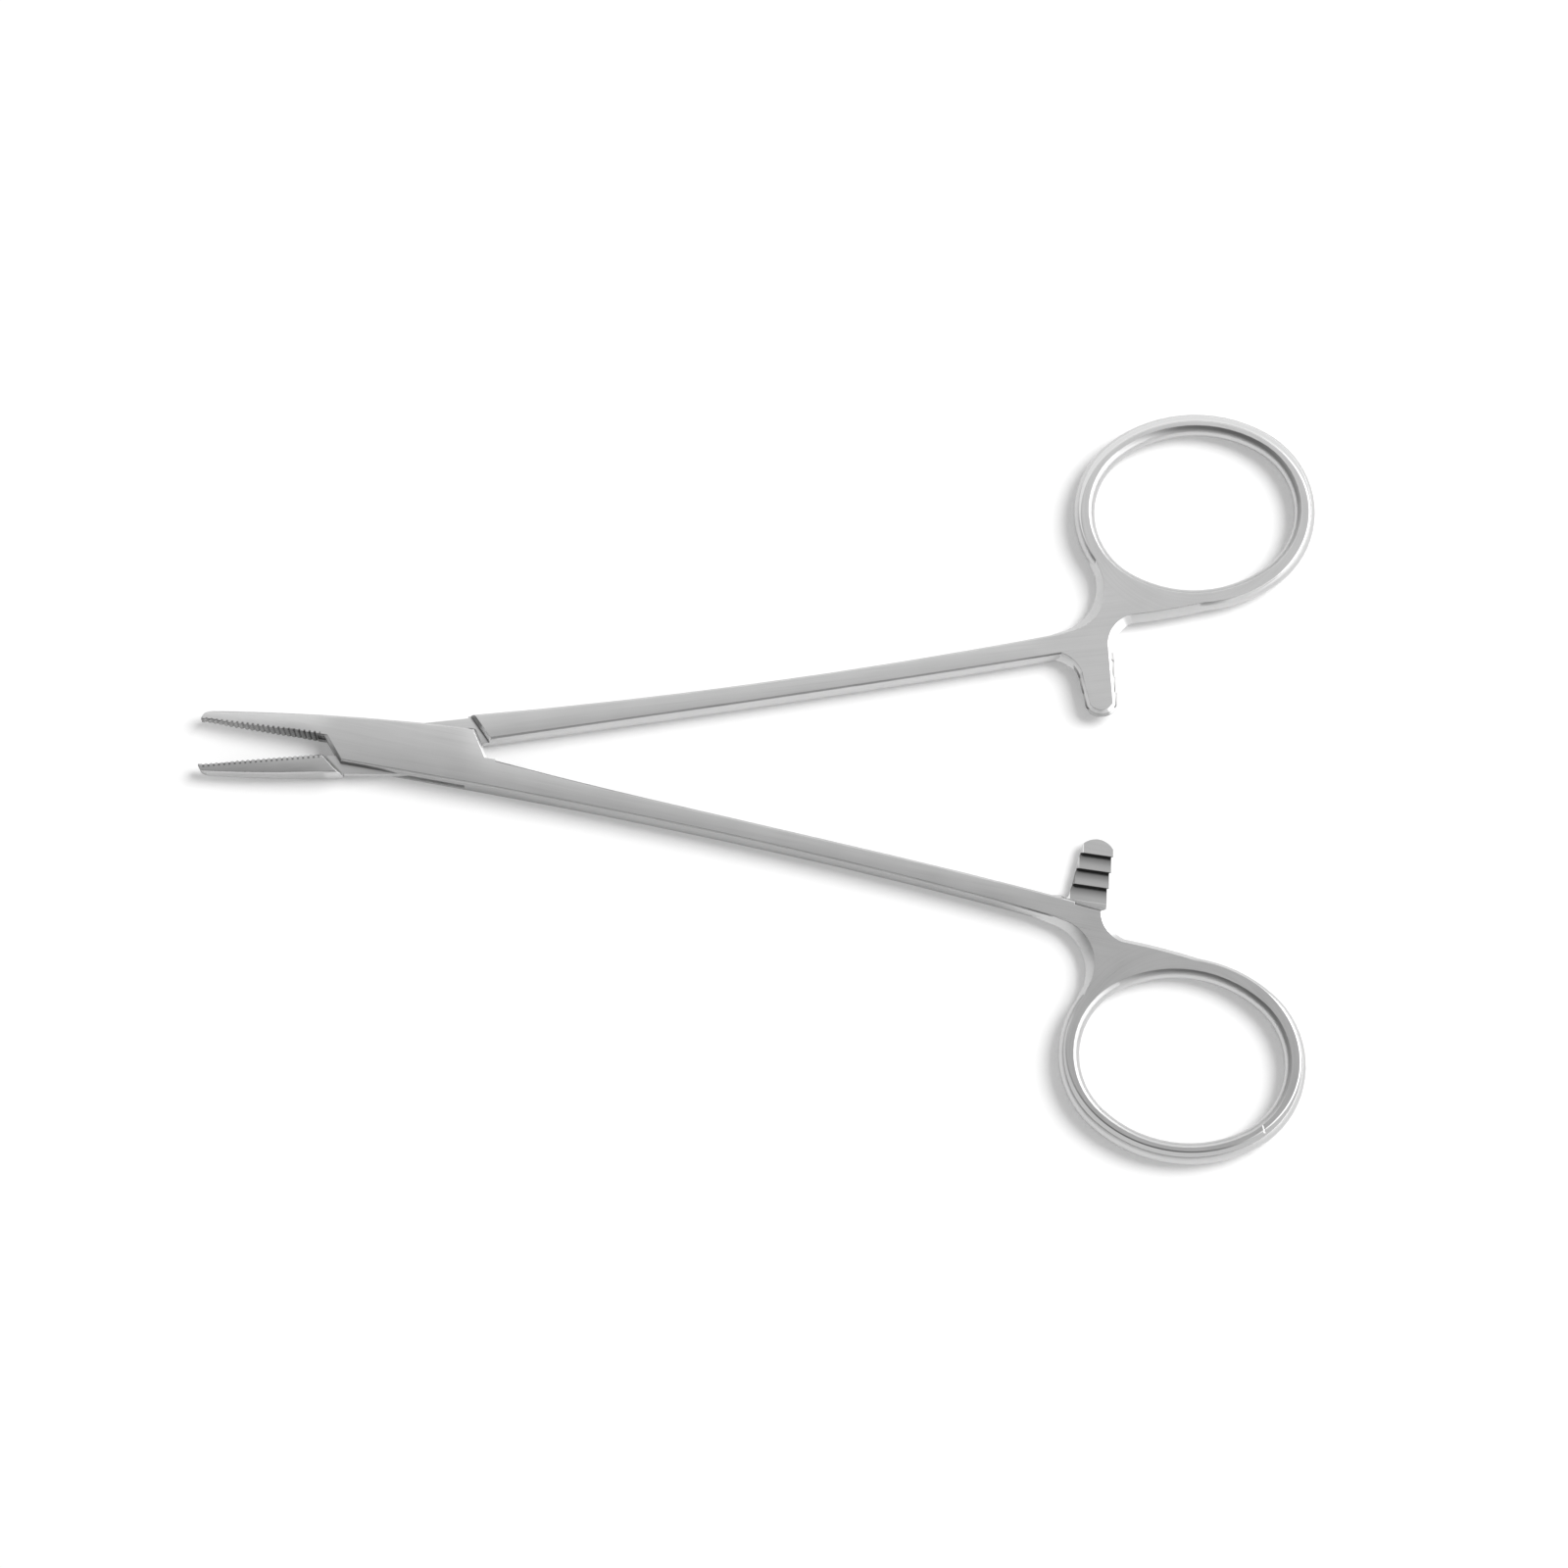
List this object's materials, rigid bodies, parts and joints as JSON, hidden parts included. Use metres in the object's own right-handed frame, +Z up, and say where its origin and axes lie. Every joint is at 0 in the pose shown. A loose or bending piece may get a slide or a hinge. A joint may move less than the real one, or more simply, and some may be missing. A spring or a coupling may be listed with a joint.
{
  "type": "surgical needle holder",
  "caption": "Box-lock needle holder with straight serrated jaws, slender shanks, a ratchet catch and two finger rings, drawn part open.",
  "frame": {"origin": "where the pin axis meets the face on which the holder lies", "axes": "+X from the jaws to the rings along the centre plane, +Y towards the ring of the tongue half, +Z up out of the face on which it lies"},
  "size_m": [0.1472, 0.1026, 0.0042],
  "materials": {
    "box_half": "satin, brushed along the shanks",
    "tongue_half": "satin, brushed along the shanks",
    "hinge_pin": "satin, polished flush with the box"
  },
  "bodies": {
    "box": {"box_half": "box_half", "hinge_pin": "hinge_pin"},
    "tongue": {"tongue_half": "tongue_half"}
  },
  "joints": [
    {"name": "box_lock", "type": "hinge", "parent": "box", "child": "tongue", "pos_m": [0, 0, 0.0021], "axis": [0, 0, 1], "range_deg": [-12.4, 32]}
  ]
}
